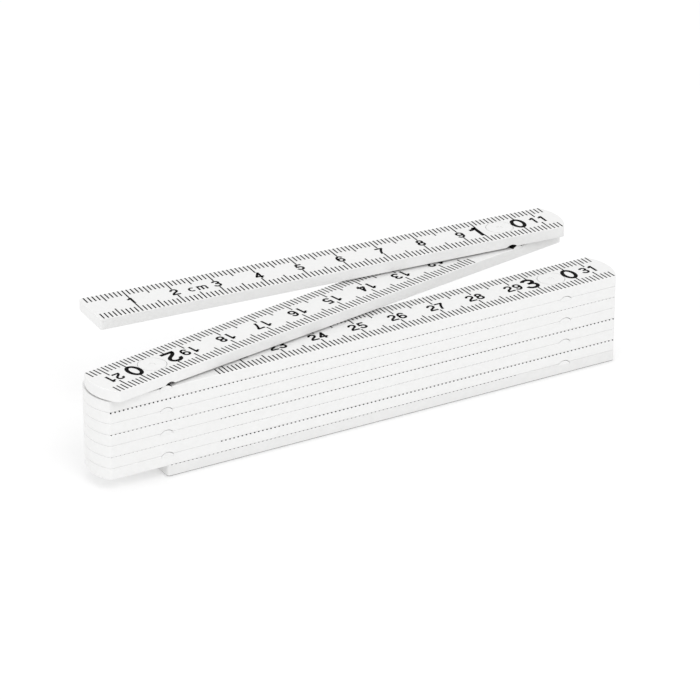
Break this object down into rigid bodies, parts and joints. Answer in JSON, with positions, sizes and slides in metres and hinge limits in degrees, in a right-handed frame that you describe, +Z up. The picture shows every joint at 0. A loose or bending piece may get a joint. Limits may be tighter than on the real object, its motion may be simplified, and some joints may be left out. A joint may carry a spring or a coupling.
{
  "type": "folding rule",
  "caption": "Zigzag folding rule: flat rigid blades of equal length, riveted end to end in a stack with click joints, the top blades swung part open.",
  "frame": {"origin": "underside of the lowest blade, midway between its two joint columns, on the folded blades' centreline", "axes": "+X along the folded blades to the right end, +Y to the back, where the two top blades swing out, +Z up"},
  "size_m": [0.1304, 0.0401, 0.0268],
  "materials": {
    "blade": "satin white plastic",
    "cap": "satin white plastic",
    "click": "satin white plastic",
    "pin": "plain steel rivet",
    "spring": "spring steel"
  },
  "bodies": {
    "blade_01": {"blade_01": "blade", "pivot_caps_01": "cap"},
    "blade_02": {"blade_02": "blade", "pivot_caps_02": "cap", "pivot_pin_1": "pin", "spring_washer_1": "spring", "click_plate_1": "click"},
    "blade_03": {"blade_03": "blade", "pivot_caps_03": "cap", "pivot_pin_2": "pin", "spring_washer_2": "spring", "click_plate_2": "click"},
    "blade_04": {"blade_04": "blade", "pivot_caps_04": "cap", "pivot_pin_3": "pin", "spring_washer_3": "spring", "click_plate_3": "click"},
    "blade_05": {"blade_05": "blade", "pivot_caps_05": "cap", "pivot_pin_4": "pin", "spring_washer_4": "spring", "click_plate_4": "click"},
    "blade_06": {"blade_06": "blade", "pivot_caps_06": "cap", "pivot_pin_5": "pin", "spring_washer_5": "spring", "click_plate_5": "click"},
    "blade_07": {"blade_07": "blade", "pivot_caps_07": "cap", "pivot_pin_6": "pin", "spring_washer_6": "spring", "click_plate_6": "click"},
    "blade_08": {"blade_08": "blade", "pivot_caps_08": "cap", "pivot_pin_7": "pin", "spring_washer_7": "spring", "click_plate_7": "click"},
    "blade_09": {"blade_09": "blade", "pivot_caps_09": "cap", "pivot_pin_8": "pin", "spring_washer_8": "spring", "click_plate_8": "click"},
    "blade_10": {"blade_10": "blade", "pivot_caps_10": "cap", "pivot_pin_9": "pin", "spring_washer_9": "spring", "click_plate_9": "click"}
  },
  "joints": [
    {"name": "hinge_01", "type": "hinge", "parent": "blade_02", "child": "blade_01", "pos_m": [0.04826, 0.01857, 0.0242], "axis": [0, 0, -1], "range_deg": [-14.8, 165.2], "deforming": ["click_plate_1"]},
    {"name": "hinge_02", "type": "hinge", "parent": "blade_03", "child": "blade_02", "pos_m": [-0.05, 0, 0.0212], "axis": [0, 0, 1], "range_deg": [-10.7, 169.3], "deforming": ["click_plate_2"]},
    {"name": "hinge_03", "type": "hinge", "parent": "blade_04", "child": "blade_03", "pos_m": [0.05, 0, 0.0182], "axis": [0, 0, -1], "range_deg": [0, 180], "deforming": ["click_plate_3"]},
    {"name": "hinge_04", "type": "hinge", "parent": "blade_05", "child": "blade_04", "pos_m": [-0.05, 0, 0.0156], "axis": [0, 0, 1], "range_deg": [0, 180], "deforming": ["click_plate_4"]},
    {"name": "hinge_05", "type": "hinge", "parent": "blade_06", "child": "blade_05", "pos_m": [0.05, 0, 0.013], "axis": [0, 0, -1], "range_deg": [0, 180], "deforming": ["click_plate_5"]},
    {"name": "hinge_06", "type": "hinge", "parent": "blade_07", "child": "blade_06", "pos_m": [-0.05, 0, 0.0104], "axis": [0, 0, 1], "range_deg": [0, 180], "deforming": ["click_plate_6"]},
    {"name": "hinge_07", "type": "hinge", "parent": "blade_08", "child": "blade_07", "pos_m": [0.05, 0, 0.0078], "axis": [0, 0, -1], "range_deg": [0, 180], "deforming": ["click_plate_7"]},
    {"name": "hinge_08", "type": "hinge", "parent": "blade_09", "child": "blade_08", "pos_m": [-0.05, 0, 0.0052], "axis": [0, 0, 1], "range_deg": [0, 180], "deforming": ["click_plate_8"]},
    {"name": "hinge_09", "type": "hinge", "parent": "blade_10", "child": "blade_09", "pos_m": [0.05, 0, 0.0026], "axis": [0, 0, -1], "range_deg": [0, 180], "deforming": ["click_plate_9"]}
  ]
}
